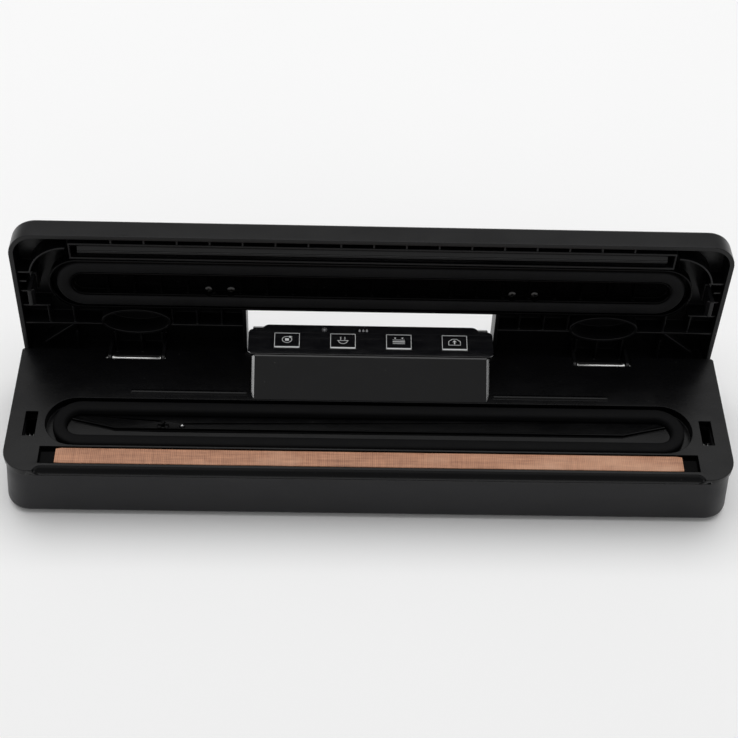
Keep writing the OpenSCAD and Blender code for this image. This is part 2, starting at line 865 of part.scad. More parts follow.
// Upright rib between two places on the lid's inside, its foot on the ceiling
module rib(a, b, low, t = 1) {
    translate([a.x, a.y, 0]) rotate(atan2(b.y - a.y, b.x - a.x))
        block([0, -t / 2, low], [norm(b - a), t / 2, lid_top_in + e]);
}

module lid_side_ribs() {
    inner = half_w - wall + 0.2;
    arc_x = half_w - 28.8;
    arc_y = -50.4;
    row_y = -18.4;
    arc_r = 19.5;
    // Corner arc, then the short ribs behind it
    translate([arc_x, arc_y, 1.2]) rotate(-90) rotate_extrude(angle = 80)
        translate([arc_r, 0]) square([1.1, lid_top_in - 1.2 + e]);
    rib([half_w - 10.5, -53.2], [inner, -53.2], 2.5);
    for (y = [-46.6, -40]) rib([half_w - 6.5, y], [inner, y], 3);
    rib([half_w - 17, -30.1], [inner, -30.1], 3);
    rib([notch_half + 1.5, row_y], [oval_at.x - oval_long + 1, row_y], 2);
    rib([oval_at.x + oval_long - 1, row_y], [inner, row_y], 2);
    for (x = [half_w - 15.5, half_w - 28.5, half_w - 80, half_w - 93, half_w - 106])
        rib([x, -30], [x, row_y], 3);
    for (x = [half_w - 28.5, half_w - 48.7, half_w - 62.4, half_w - 73.6])
        rib([x, -11.5], [x, 3.2], 3.5);
    rib([half_w - 29, row_y], [half_w - 11, -4], 2.5);
}

function oval(a, b) = [for (t = [0 : 7.5 : 352.5]) [a * cos(t), b * sin(t)]];

module oval_boss() {
    translate([oval_at.x, oval_at.y, 0]) prism(1.6, lid_top_in + e) difference() {
        polygon(oval(oval_long, oval_short));
        polygon(oval(oval_long - 1.5, oval_short - 1.5));
    }
}

module hinge_lug(x) {
    translate([x, 0, 0]) rotate([90, 0, 90]) linear_extrude(lug_t) {
        translate([0, -hinge_drop]) circle(lug_r);
        translate([-lug_r, -hinge_drop]) square([2 * lug_r, lid_top_in + hinge_drop + e]);
    }
}

module lid_shell() {
    bar_wall = 1.3;
    bar_half = half_w - 30.5;
    lug_in = pocket_in + 0.6;
    lug_out = pocket_out - 0.6 - lug_t;
    color([0.07, 0.07, 0.075]) lid_frame() difference() {
        union() {
            difference() {
                translate([0, 0, rim_gap]) soft_slab(body_w, -front_reach - 0.2, lid_rear,
                    corner_r, 5, lid_t - rim_gap, lid_edge_r);
                lid_hollow();
            }
            // Wall round the rear cut-out
            block([-notch_half - 2, notch_front - 2, 1.2],
                [notch_half + 2, lid_rear, lid_top_in + e]);
            // Channel of the pressure bar, with its end walls
            difference() {
                block([-bar_half, -strip_y - 5.2, 1], [bar_half, -strip_y + 5.2, lid_top_in + e]);
                block([-bar_half + 1, -strip_y - 5.2 + bar_wall, -1],
                    [bar_half - 1, -strip_y + 5.2 - bar_wall, lid_top_in]);
            }
            for (i = [-8 : 8]) block([i * 16.6 - 0.5, -front_reach + wall - 0.4, 1.4],
                [i * 16.6 + 0.5, -strip_y - 5, lid_top_in + e]);
            both_sides() {
                lid_side_ribs();
                oval_boss();
                hinge_lug(lug_in);
                hinge_lug(lug_out);
            }
            for (p = lid_screw_spots)
                translate([p.x, p.y, 7.3]) cylinder(h = lid_top_in - 7.3 + e, r = 3);
        }
        block([-notch_half, notch_front, -1], [notch_half, lid_rear + 1, lid_t + 1]);
        both_sides() {
            translate([pocket_in, 0, -hinge_drop]) rotate([0, 90, 0])
                cylinder(h = pocket_out - pocket_in, r = pin_r + 0.05);
        }
        for (p = lid_screw_spots) translate([p.x, p.y, 0]) cylinder(h = 12, r = pilot_r);
        trough_place() prism(-1, 7.2) stadium(frame_half + 0.2, frame_r + 0.2);
    }
}

module lid_gasket_frame() {
    island_half = gasket_half - gasket_w - 0.4;
    island_r = gasket_r - gasket_w - 0.4;
    rib_pitch = 13.7;
    color([0.08, 0.08, 0.085]) lid_frame() difference() {
        trough_place() {
            prism(5.3, 7.1) stadium(frame_half, frame_r);
            prism(0.9, 5.4) stadium_ring(frame_half, frame_r, 1.3);
            prism(1.4, 5.4) stadium_ring(island_half, island_r, 1.1);
            for (i = [-10 : 10]) block([i * rib_pitch - 0.5, -6.6, 3], [i * rib_pitch + 0.5, 6.6, 5.4]);
        }
        for (p = lid_screw_spots) translate([p.x, p.y, 0]) {
            cylinder(h = 12, r = 1.6);
            cylinder(h = 5.3, r = 2.2);
        }
    }
}

module upper_gasket() {
    color([0.15, 0.15, 0.155]) lid_frame() translate([0, -trough_y, 5.2]) mirror([0, 0, 1])
        stadium_sweep(gasket_half, gasket_r) gasket_section(4.9);
}

module pressure_bar() {
    bar_r = 3.6;
    bar_tip = tape_top + bar_gap;
    shoulder = bar_tip + 1.8;
    color([0.2, 0.2, 0.2]) lid_frame() translate([0, -strip_y, 0])
        rotate([90, 0, 90]) translate([0, 0, -half_w + 35]) linear_extrude(body_w - 70) {
            translate([-bar_r, shoulder]) square([2 * bar_r, 7.9 - shoulder]);
            translate([-bar_r + 1.2, bar_tip]) square([2 * bar_r - 2.4, 2]);
            for (s = [-1, 1]) translate([s * (bar_r - 1.2), shoulder]) circle(1.2);
        }
}

module latch_hook() {
    x_in = slot_x - 0.2;
    tip = latch_top - latch_t - 1.8;
    root = 3;
    block([x_in, hook_y - hook_l / 2, tip], [x_in + hook_t, hook_y + hook_l / 2, root + 2]);
    block([x_in - 0.7, hook_y - hook_l / 2 - 0.6, root],
        [x_in + hook_t + 0.7, hook_y + hook_l / 2 + 0.6, lid_top_in - 0.1]);
    translate([x_in + e, hook_y + hook_l / 2, 0]) rotate([90, 0, 0]) linear_extrude(hook_l)
        polygon([[0, tip], [-1.5, tip + 1.3], [-1.5, tip + 1.5], [0, tip + 1.5]]);
}

module latch_hooks() {
    color([0.1, 0.1, 0.1]) lid_frame() both_sides() latch_hook();
}

module lid_screws() {
    color("silver") lid_frame() for (p = lid_screw_spots) translate([p.x, p.y, 0]) {
        translate([0, 0, 4.1]) cylinder(h = 1.2, r = 2);
        translate([0, 0, 5.2]) cylinder(h = 6, r = pilot_r - 0.05);
    }
}

bottom_housing();
deck_cover();
control_console();
control_panel();
auto_stop_key();
food_key();
seal_key();
vacuum_key();
indicator_lights();
control_board();
key_switches();
status_leds();
power_board();
transformer();
smoothing_capacitor();
power_components();
mains_inlet();
inlet_pins();
pump_motor();
pump_shaft();
pump_head();
pump_mounts();
release_valve();
valve_plunger();
valve_spring();
air_hoses();
suction_nozzle();
vacuum_sensor();
lower_gasket();
drip_tray();
heater_bar();
heating_wire();
seal_tape();
wire_clamps();
left_latch();
right_latch();
left_release_button();
right_release_button();
left_latch_spring();
right_latch_spring();
lid_switches();
hinge_pins();
feet();
housing_screws();
board_screws();
lid_shell();
lid_gasket_frame();
upper_gasket();
pressure_bar();
latch_hooks();
lid_screws();
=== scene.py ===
import json
import math

import bmesh
import bpy
from mathutils import Matrix, Vector, noise


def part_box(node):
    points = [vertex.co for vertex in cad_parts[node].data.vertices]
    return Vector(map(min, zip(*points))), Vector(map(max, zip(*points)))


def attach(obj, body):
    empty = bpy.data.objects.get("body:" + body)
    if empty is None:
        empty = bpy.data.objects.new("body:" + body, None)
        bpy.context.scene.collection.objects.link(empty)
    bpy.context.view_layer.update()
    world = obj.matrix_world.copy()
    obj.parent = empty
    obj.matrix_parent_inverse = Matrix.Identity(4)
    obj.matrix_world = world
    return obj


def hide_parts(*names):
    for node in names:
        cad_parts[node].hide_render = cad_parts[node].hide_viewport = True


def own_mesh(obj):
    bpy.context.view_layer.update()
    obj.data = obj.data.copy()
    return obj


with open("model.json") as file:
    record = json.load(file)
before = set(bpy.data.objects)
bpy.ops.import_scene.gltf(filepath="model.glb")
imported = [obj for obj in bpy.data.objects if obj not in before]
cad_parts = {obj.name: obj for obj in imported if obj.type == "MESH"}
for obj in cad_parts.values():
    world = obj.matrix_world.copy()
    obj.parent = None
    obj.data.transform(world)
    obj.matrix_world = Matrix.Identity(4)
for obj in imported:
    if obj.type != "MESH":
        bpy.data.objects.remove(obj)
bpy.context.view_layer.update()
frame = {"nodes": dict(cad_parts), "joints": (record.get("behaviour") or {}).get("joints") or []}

mm = 0.001
print("frame loaded:", len(frame["nodes"]), "nodes")

joints = {j["name"]: j for j in frame["joints"]}
hinge = Vector(joints["lid_hinge"]["pos_m"])
openAngle = math.radians(joints["lid_hinge"]["range_deg"][1])
# what is drawn for the closed lid swings up with this
lidSwing = Matrix.Translation(hinge) @ Matrix.Rotation(-openAngle, 4, "X") @ Matrix.Translation(-hinge)
keyNames = ["auto_stop_key", "food_key", "seal_key", "vacuum_key"]


class Wire:
    # one output of a node; sums written on it become Math nodes
    def __init__(self, tree, socket=None):
        self.tree = tree
        self.socket = socket

    def add(self, kind, settings=None, sockets=None, out=0):
        node = self.tree.nodes.new("ShaderNode" + kind)
        for key, value in (settings or {}).items():
            if key == "stops":
                fillRamp(node.color_ramp, value)
            else:
                setattr(node, key, value)
        for key, value in (sockets or {}).items():
            if isinstance(value, Wire):
                self.tree.links.new(value.socket, node.inputs[key])
            else:
                node.inputs[key].default_value = value
        return Wire(self.tree, node.outputs[out])

    def sum(self, operation, a, b):
        return self.add("Math", {"operation": operation}, {0: a, 1: b})

    def __add__(self, other):
        return self.sum("ADD", self, other)

    def __radd__(self, other):
        return self.sum("ADD", other, self)

    def __sub__(self, other):
        return self.sum("SUBTRACT", self, other)

    def __rsub__(self, other):
        return self.sum("SUBTRACT", other, self)

    def __mul__(self, other):
        return self.sum("MULTIPLY", self, other)

    def __rmul__(self, other):
        return self.sum("MULTIPLY", other, self)

    def __gt__(self, other):
        return self.sum("GREATER_THAN", self, other)


def fillRamp(ramp, stops):
    while len(ramp.elements) < len(stops):
        ramp.elements.new(0.5)
    for element, (place, colour) in zip(ramp.elements, stops):
        element.position = place
        element.color = (*colour, 1) if len(colour) == 3 else colour


def newFinish(name):
    material = bpy.data.materials.new(name)
    material.use_nodes = True
    material.node_tree.nodes.clear()
    return material, Wire(material.node_tree)


def finishShader(wire, sockets):
    shader = wire.add("BsdfPrincipled", {}, sockets)
    output = wire.tree.nodes.new("ShaderNodeOutputMaterial")
    wire.tree.links.new(shader.socket, output.inputs["Surface"])


# spot on the object in metres, each axis stretched for drawn or brushed patterns
def place(wire, stretch=(1, 1, 1)):
    spot = wire.add("TexCoord", out="Object")
    return wire.add("VectorMath", {"operation": "MULTIPLY"}, {0: spot, 1: stretch})


# soft noise whose blotches are about size metres across
def cloud(wire, spot, size, detail=3, rough=0.55):
    return wire.add("TexNoise", {}, {
        "Vector": spot, "Scale": 1 / size, "Detail": detail, "Roughness": rough})


def blendColours(wire, mask, low, high):
    a, b = (colour if isinstance(colour, Wire) else (*colour, 1) for colour in (low, high))
    return wire.add("Mix", {"data_type": "RGBA"}, {"Factor": mask, "A": a, "B": b}, out=2)


def span(wire, value, low, high, toLow=0.0, toHigh=1.0):
    return wire.add("MapRange", {"clamp": True}, {0: value, 1: low, 2: high, 3: toLow, 4: toHigh})


# sizes in metres, for all the plastics
plasticWear = {"drift": 0.045, "rubbed": 0.011, "specksPerMetre": 260.0, "dustGrey": (0.32, 0.31, 0.3),
               "dustyAbove": 0.54, "bump": 0.00004}


# moulded plastics: spark grain, slow tone drift, handling marks and a little dust
def mouldedPlastic(name, look):
    material, wire = newFinish(name)
    spot = place(wire)
    grain = cloud(wire, spot, look["grain"], 2)
    drift = cloud(wire, spot, plasticWear["drift"], 4)
    rubbed = cloud(wire, place(wire, (0.5, 1, 1)), plasticWear["rubbed"], 5, 0.65)
    specks = wire.add("TexVoronoi", {}, {
        "Vector": spot, "Scale": plasticWear["specksPerMetre"], "Randomness": 1.0})
    dust = span(wire, specks, 0.035, 0.075, 1.0, 0.0) * (rubbed > plasticWear["dustyAbove"])
    tone = span(wire, drift * 0.7 + grain * 0.3, 0.32, 0.68)
    shade = blendColours(wire, tone, look["dark"], look["light"])
    colour = blendColours(wire, dust * look["dust"], shade, plasticWear["dustGrey"])
    marks = span(wire, rubbed, 0.3, 0.7, -look["marks"], look["marks"])
    roughness = marks + (look["roughness"] + 0.05) - grain * 0.1
    relief = wire.add("Bump", {}, {
        "Strength": look["relief"], "Distance": plasticWear["bump"], "Height": grain + drift * 0.4})
    finishShader(wire, {
        "Base Color": colour, "Roughness": roughness, "Normal": relief,
        "IOR": 1.5, "Specular IOR Level": look.get("gloss", 0.3)})
    return material


# linear colours; gloss is the strength of the mirror shine, grain a size in metres
plasticLooks = {
    "housingPlastic": {"dark": (0.005, 0.005, 0.006), "light": (0.009, 0.009, 0.0105), "gloss": 0.2,
                       "roughness": 0.4, "marks": 0.05, "grain": 0.00045, "relief": 0.3, "dust": 0.12},
    "deckPlastic": {"dark": (0.0008, 0.0008, 0.001), "light": (0.002, 0.002, 0.0024), "gloss": 0.15,
                    "roughness": 0.27, "marks": 0.04, "grain": 0.0004, "relief": 0.3, "dust": 0.12},
    "trayPlastic": {"dark": (0.0005, 0.0005, 0.0006), "light": (0.0012, 0.0012, 0.0014), "gloss": 0.1,
                    "roughness": 0.18, "marks": 0.04, "grain": 0.0004, "relief": 0.25, "dust": 0.12},
    "clampPlastic": {"dark": (0.0004, 0.0004, 0.0005), "light": (0.001, 0.001, 0.0012), "gloss": 0.04,
                     "roughness": 0.5, "marks": 0.05, "grain": 0.0005, "relief": 0.3, "dust": 0.1},
    "lidPlastic": {"dark": (0.0015, 0.0015, 0.0018), "light": (0.0035, 0.0035, 0.004), "gloss": 0.28,
                   "roughness": 0.33, "marks": 0.05, "grain": 0.0004, "relief": 0.3, "dust": 0.1},
    "consolePlastic": {"dark": (0.0015, 0.0015, 0.0018), "light": (0.003, 0.003, 0.0034), "gloss": 0.42,
                       "roughness": 0.17, "marks": 0.04, "grain": 0.00035, "relief": 0.2, "dust": 0.15},
    "barRubber": {"dark": (0.0008, 0.0008, 0.001), "light": (0.002, 0.002, 0.0023), "gloss": 0.3,
                  "roughness": 0.2, "marks": 0.04, "grain": 0.0005, "relief": 0.25, "dust": 0.1},
    "latchNylon": {"dark": (0.006, 0.006, 0.007), "light": (0.012, 0.012, 0.013),
                   "roughness": 0.5, "marks": 0.05, "grain": 0.0006, "relief": 0.3, "dust": 0.1},
    "darkMoulding": {"dark": (0.004, 0.004, 0.005), "light": (0.009, 0.009, 0.010),
                     "roughness": 0.5, "marks": 0.05, "grain": 0.0006, "relief": 0.4, "dust": 0.1},
    "heaterBoard": {"dark": (0.42, 0.38, 0.3), "light": (0.55, 0.5, 0.41),
                    "roughness": 0.7, "marks": 0.06, "grain": 0.0007, "relief": 0.6, "dust": 0.1},
    "windingWrap": {"dark": (0.5, 0.36, 0.05), "light": (0.68, 0.5, 0.09),
                    "roughness": 0.3, "marks": 0.08, "grain": 0.0015, "relief": 0.5, "dust": 0.1},
    "inkWhite": {"dark": (0.6, 0.61, 0.62), "light": (0.8, 0.8, 0.8),
                 "roughness": 0.45, "marks": 0.05, "grain": 0.0002, "relief": 0.2, "dust": 0.0},
    "inkGrey": {"dark": (0.24, 0.24, 0.25), "light": (0.36, 0.36, 0.37),
                "roughness": 0.45, "marks": 0.05, "grain": 0.0002, "relief": 0.2, "dust": 0.0},
}


panelLook = {"dark": (0.004, 0.004, 0.005), "light": (0.008, 0.008, 0.009), "smear": 0.009,
             "wipesPerMetre": 420.0, "roughness": 0.07, "orangePeel": 0.004}


# polished panel: deep black under a clear layer, with wipe marks and a few fine scratches
def panelGloss():
    material, wire = newFinish("panelGloss")
    spot = place(wire)
    smear = cloud(wire, place(wire, (1, 3, 1)), panelLook["smear"], 4)
    wipe = wire.add("TexWave", {"wave_type": "BANDS"}, {
        "Vector": place(wire, (1, 0.35, 1)), "Scale": panelLook["wipesPerMetre"],
        "Distortion": 9.0, "Detail": 4.0}, out=1)
    scratch = wipe > 0.985
    colour = blendColours(wire, span(wire, smear, 0.3, 0.7), panelLook["dark"], panelLook["light"])
    roughness = panelLook["roughness"] + span(wire, smear, 0.35, 0.75) * 0.1 + scratch * 0.12
    ripple = cloud(wire, spot, panelLook["orangePeel"], 2)
    relief = wire.add("Bump", {}, {
        "Strength": 0.12, "Distance": 0.00003, "Height": ripple + scratch * -0.4})
    finishShader(wire, {
        "Base Color": colour, "Roughness": roughness, "Normal": relief,
        "Coat Weight": span(wire, smear, 0.2, 0.8, 0.5, 0.9), "Coat Roughness": 0.04})
    return material


foamLooks = {
    "gasketFoam": {"dark": (0.0012, 0.0012, 0.0014), "light": (0.003, 0.003, 0.0033), "pore": 0.0006},
    "lidGasketFoam": {"dark": (0.0045, 0.0045, 0.0048), "light": (0.0095, 0.0095, 0.01), "pore": 0.0006},
    "siliconeRubber": {"dark": (0.006, 0.006, 0.0065), "light": (0.012, 0.012, 0.013), "pore": 0.0012},
    "hoseRubber": {"dark": (0.4, 0.4, 0.38), "light": (0.55, 0.55, 0.52), "pore": 0.0012},
}


# foam and soft rubber: fine pits, pale bloom, matte
def foamRubber(name, look):
    material, wire = newFinish(name)
    spot = place(wire)
    cells = wire.add("TexVoronoi", {}, {"Vector": spot, "Scale": 1 / look["pore"], "Randomness": 1.0})
    bloom = cloud(wire, spot, 0.014, 4)
    pits = span(wire, cells, 0.05, 0.45)
    mask = span(wire, bloom * 0.6 + pits * 0.4, 0.3, 0.75)
    relief = wire.add("Bump", {}, {"Strength": 0.55, "Distance": 0.00012, "Height": pits + bloom * 0.5})
    finishShader(wire, {
        "Base Color": blendColours(wire, mask, look["dark"], look["light"]),
        "Roughness": 0.62 + bloom * 0.25, "Normal": relief, "Specular IOR Level": 0.1})
    return material


clothLook = {"shadow": (0.17, 0.066, 0.032), "thread": (0.56, 0.28, 0.165), "worn": (0.64, 0.37, 0.24),
             "warpPerMetre": 520.0, "weftPerMetre": 330.0, "streak": 0.0011, "cross": 0.0016,
             "stain": 0.016}


# woven coated cloth: flat warp and weft threads, amber coating with heat stains
def wovenCloth():
    material, wire = newFinish("wovenTape")
    warp = wire.add("TexWave", {"wave_type": "BANDS", "bands_direction": "Y"}, {
        "Vector": place(wire, (0.02, 1, 0.0)), "Scale": clothLook["warpPerMetre"],
        "Distortion": 0.6, "Detail": 1.0}, out=1)
    weft = wire.add("TexWave", {"wave_type": "BANDS", "bands_direction": "X"}, {
        "Vector": place(wire, (1, 0.02, 0.0)), "Scale": clothLook["weftPerMetre"],
        "Distortion": 0.8, "Detail": 1.0}, out=1)
    streak = cloud(wire, place(wire, (0.06, 1, 1)), clothLook["streak"], 3, 0.7)
    cross = cloud(wire, place(wire, (1, 0.08, 1)), clothLook["cross"], 3, 0.7)
    stain = cloud(wire, place(wire, (0.4, 1, 1)), clothLook["stain"], 4)
    threads = warp * 0.55 + weft * 0.45
    tone = span(wire, streak * 0.45 + cross * 0.3 + threads * 0.25, 0.3, 0.68)
    cloth = blendColours(wire, tone, clothLook["shadow"], clothLook["thread"])
    colour = blendColours(wire, span(wire, stain, 0.5, 0.72, 0.0, 0.55), cloth, clothLook["worn"])
    relief = wire.add("Bump", {}, {
        "Strength": 0.6, "Distance": 0.0001, "Height": threads + streak * 0.6 + cross * 0.4})
    finishShader(wire, {
        "Base Color": colour, "Roughness": 0.42 + tone * 0.2, "Normal": relief,
        "Specular IOR Level": 0.4})
    return material


# along is the axis of the drawn lines; bright is the pale end of the grey
steelLooks = {
    "steelDrawnX": {"along": (0.03, 1, 1), "bright": 0.55},
    "steelDrawnZ": {"along": (1, 1, 0.03), "bright": 0.62},
    "blackenedSteel": {"along": (1, 1, 0.03), "bright": 0.09},
    "oxidisedRibbon": {"along": (0.03, 1, 1), "bright": 0.2},
}


# plated steel: fine drawn lines along one axis and cloudy plating
def platedSteel(name, look):
    material, wire = newFinish(name)
    bright = look["bright"]
    lines = cloud(wire, place(wire, look["along"]), 0.00025, 3, 0.6)
    patina = cloud(wire, place(wire), 0.004, 4)
    mask = span(wire, lines * 0.5 + patina * 0.5, 0.3, 0.7)
    relief = wire.add("Bump", {}, {"Strength": 0.25, "Distance": 0.00003, "Height": lines})
    finishShader(wire, {
        "Base Color": blendColours(wire, mask, (bright * 0.72,) * 3, (bright, bright, bright * 0.98)),
        "Metallic": 1.0, "Roughness": 0.18 + lines * 0.14 + patina * 0.1, "Normal": relief})
    return material


boardLook = {"dark": (0.006, 0.06, 0.025), "light": (0.02, 0.19, 0.08), "tracksPerMetre": 210.0}


# printed board: solder mask over a faint copper pattern of tracks
def circuitBoard():
    material, wire = newFinish("circuitBoard")
    tracks = wire.add("TexBrick", {"offset": 0.37, "squash": 0.6}, {
        "Vector": place(wire), "Scale": boardLook["tracksPerMetre"], "Mortar Size": 0.09,
        "Brick Width": 0.9, "Row Height": 0.3, "Color1": (0, 0, 0, 1), "Color2": (0.3, 0.3, 0.3, 1),
        "Mortar": (1, 1, 1, 1)}, out=1)
    mask = span(wire, cloud(wire, place(wire), 0.008), 0.3, 0.7) * 0.4 + tracks * 0.5
    relief = wire.add("Bump", {}, {"Strength": 0.4, "Distance": 0.00005, "Height": tracks})
    finishShader(wire, {
        "Base Color": blendColours(wire, mask, boardLook["dark"], boardLook["light"]),
        "Roughness": 0.28 + mask * 0.2, "Normal": relief})
    return material


lensLook = {"dark": (0.004, 0.005, 0.006), "light": (0.009, 0.011, 0.012), "haze": 0.0006}


# smoked lamp lens: dark when off, with soft mottling
def lampLens():
    material, wire = newFinish("lampLens")
    haze = cloud(wire, place(wire), lensLook["haze"], 3)
    relief = wire.add("Bump", {}, {"Strength": 0.1, "Distance": 0.00002, "Height": haze})
    finishShader(wire, {
        "Base Color": blendColours(wire, haze, lensLook["dark"], lensLook["light"]),
        "Roughness": 0.12 + haze * 0.1, "Normal": relief})
    return material


finishes = {name: mouldedPlastic(name, look) for name, look in plasticLooks.items()}
finishes["panelGloss"] = panelGloss()
finishes.update({name: foamRubber(name, look) for name, look in foamLooks.items()})
finishes["wovenTape"] = wovenCloth()
finishes.update({name: platedSteel(name, look) for name, look in steelLooks.items()})
finishes["circuitBoard"] = circuitBoard()
finishes["lampLens"] = lampLens()
print("finishes made:", len(finishes))


nodeFinish = {
    "housingPlastic": ["bottom_housing", "left_release_button", "right_release_button"],
    "deckPlastic": ["deck_cover"],
    "trayPlastic": ["drip_tray", "suction_nozzle", "lid_gasket_frame"],
    "lidPlastic": ["lid_shell", "latch_hooks"],
    "consolePlastic": ["control_console"],
    "panelGloss": ["control_panel", *keyNames],
    "lampLens": ["indicator_lights", "status_leds"],
    "gasketFoam": ["lower_gasket"],
    "lidGasketFoam": ["upper_gasket"],
    "siliconeRubber": ["pressure_bar", "pump_mounts", "feet"],
    "hoseRubber": ["air_hoses"],
    "clampPlastic": ["wire_clamps"],
    "oxidisedRibbon": ["heating_wire"],
    "blackenedSteel": ["lid_screws"],
    "wovenTape": ["seal_tape"],
    "heaterBoard": ["heater_bar"],
    "latchNylon": ["left_latch", "right_latch"],
    "darkMoulding": ["pump_head", "release_valve", "lid_switches", "mains_inlet", "key_switches",
                     "power_components", "smoothing_capacitor"],
    "circuitBoard": ["control_board", "power_board"],
    "windingWrap": ["transformer"],
    "steelDrawnX": ["hinge_pins", "pump_shaft", "left_latch_spring", "right_latch_spring", "pump_motor"],
    "steelDrawnZ": ["housing_screws", "board_screws", "inlet_pins", "valve_plunger", "valve_spring",
                    "vacuum_sensor"],
}
# width of the broken edge of each part, in millimetres
edgeWidth = {
    "bottom_housing": 0.3, "deck_cover": 0.22, "control_console": 0.2, "control_panel": 0.15,
    "lid_shell": 0.25, "lid_gasket_frame": 0.2, "latch_hooks": 0.25, "drip_tray": 0.35,
    "left_release_button": 0.4, "right_release_button": 0.4, "mains_inlet": 0.3, "wire_clamps": 0.15,
}
keyEdge = 0.25


# holds the broken edges inside the part's own box, where a mitre would run past a sharp corner
def keepInBox(part, name):
    lo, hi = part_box(name)
    group = bpy.data.node_groups.new(name + "_box", "GeometryNodeTree")
    group.interface.new_socket("Geometry", in_out="INPUT", socket_type="NodeSocketGeometry")
    group.interface.new_socket("Geometry", in_out="OUTPUT", socket_type="NodeSocketGeometry")
    made = [group.nodes.new(kind) for kind in (
        "NodeGroupInput", "GeometryNodeInputPosition", "ShaderNodeVectorMath", "ShaderNodeVectorMath",
        "GeometryNodeSetPosition", "NodeGroupOutput")]
    source, spot, above, below, move, result = made
    above.operation, below.operation = "MAXIMUM", "MINIMUM"
    above.inputs[1].default_value, below.inputs[1].default_value = lo, hi
    for a, b in ((source.outputs[0], move.inputs["Geometry"]), (spot.outputs[0], above.inputs[0]),
                 (above.outputs[0], below.inputs[0]), (below.outputs[0], move.inputs["Position"]),
                 (move.outputs[0], result.inputs[0])):
        group.links.new(a, b)
    part.modifiers.new("box", "NODES").node_group = group


# points closer than this are one point
sameSpot = 0.002 * mm


def softEdges(part, width):
    weld = part.modifiers.new("weld", "WELD")
    weld.merge_threshold = sameSpot
    bevel = part.modifiers.new("edges", "BEVEL")
    bevel.width = width
    bevel.segments = 2
    bevel.limit_method = "ANGLE"
    bevel.angle_limit = math.radians(32)
    bevel.use_clamp_overlap = False
    shade = part.modifiers.new("normals", "WEIGHTED_NORMAL")
    shade.keep_sharp = False
    shade.weight = 60


for finish, names in nodeFinish.items():
    for name in names:
        part = frame["nodes"][name]
        part.data.materials.clear()
        part.data.materials.append(finishes[finish])
for name, width in edgeWidth.items():
    softEdges(frame["nodes"][name], width * mm)
    keepInBox(frame["nodes"][name], name)
for name in keyNames:
    softEdges(frame["nodes"][name], keyEdge * mm)
print("CAD parts finished")


def rawPiece(name, verts, faces):
    me = bpy.data.meshes.new(name)
    me.from_pydata([tuple(v) for v in verts], [], faces)
    bm = bmesh.new()
    bm.from_mesh(me)
    bmesh.ops.recalc_face_normals(bm, faces=bm.faces)
    bm.to_mesh(me)
    bm.free()
    piece = bpy.data.objects.new(name, me)
    bpy.context.scene.collection.objects.link(piece)
    return piece


# a finished piece that rides a body and takes the place of the CAD nodes in stands
def addPiece(name, verts, faces, finish, body, stands=(), swing=False, smooth=True):
    if swing:
        verts = [lidSwing @ Vector(v) for v in verts]
    piece = rawPiece(name, verts, faces)
    for face in piece.data.polygons:
        face.use_smooth = smooth
    piece.data.materials.append(finishes[finish])
    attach(piece, body)
    if stands:
        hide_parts(*stands)
    return piece


# keeps edges sharper than degrees crisp and the rest smooth
def crease(piece, degrees):
    me = piece.data
    bm = bmesh.new()
    bm.from_mesh(me)
    for edge in bm.edges:
        edge.smooth = len(edge.link_faces) == 2 and edge.calc_face_angle(0) < math.radians(degrees)
    bm.to_mesh(me)
    bm.free()


# skin over rings of equal length: the last joins the first, or both ends are capped
def joinRings(rings, closed=False):
    n = len(rings[0])
    verts = [v for ring in rings for v in ring]
    faces = []
    last = len(rings) if closed else len(rings) - 1
    for i in range(last):
        a, b = i * n, (i + 1) % len(rings) * n
        for j in range(n):
            k = (j + 1) % n
            faces.append((a + j, a + k, b + k, b + j))
    if not closed:
        faces.append(tuple(range(n - 1, -1, -1)))
        faces.append(tuple((len(rings) - 1) * n + j for j in range(n)))
    return verts, faces


# points round a stadium along X, with the outward direction at each
def stadiumPath(centre, straight, along=60, steps=24):
    path = []
    for side in (-1, 1):
        for i in range(along):
            x = side * straight * (2 * i / along - 1)
            path.append((Vector((x, 0, 0)), Vector((0, side, 0))))
        for i in range(steps):
            a = math.pi * i / steps
            out = Vector((side * math.sin(a), side * math.cos(a), 0))
            path.append((Vector((side * straight, 0, 0)), out))
    return [(centre + at, out) for at, out in path]


gasketLook = {"width": 6.6, "round": 1.9, "bulge": 0.22, "ripple": 0.05, "crown": 0.12, "foot": 0.2,
              "flank": 0.62}


# box of a lid node as it lies with the lid closed
def closedBox(node):
    back = lidSwing.inverted()
    spots = [back @ v.co for v in frame["nodes"][node].data.vertices]
    lo = Vector([min(p[i] for p in spots) for i in range(3)])
    hi = Vector([max(p[i] for p in spots) for i in range(3)])
    return lo, hi


# section of the foam ring, from its foot up: (distance from the middle line, height)
def foamSection(outer, height):
    w, r, swell, crown, foot = (gasketLook[k] * mm for k in ("width", "round", "bulge", "crown", "foot"))
    flank = height * gasketLook["flank"]
    inner = outer - w
    up = (0.25, 0.5, 0.75, 1)
    shoulder = [math.radians(d) for d in (15, 35, 55, 75, 90)]
    points = [(inner + foot, 0)]
    points += [(inner - swell * math.sin(math.pi * t), flank * t) for t in up]
    points += [(inner + r - r * math.cos(a), height - r + r * math.sin(a)) for a in shoulder]
    points += [(inner + r + (w - 2 * r) * t, height + crown * math.sin(math.pi * t))
               for t in (0.3, 0.5, 0.7)]
    points += [(outer - r + r * math.cos(a), height - r + r * math.sin(a)) for a in reversed(shoulder)]
    points += [(outer + swell * math.sin(math.pi * t), flank * t) for t in reversed(up)]
    points += [(outer - foot, 0)]
    return points


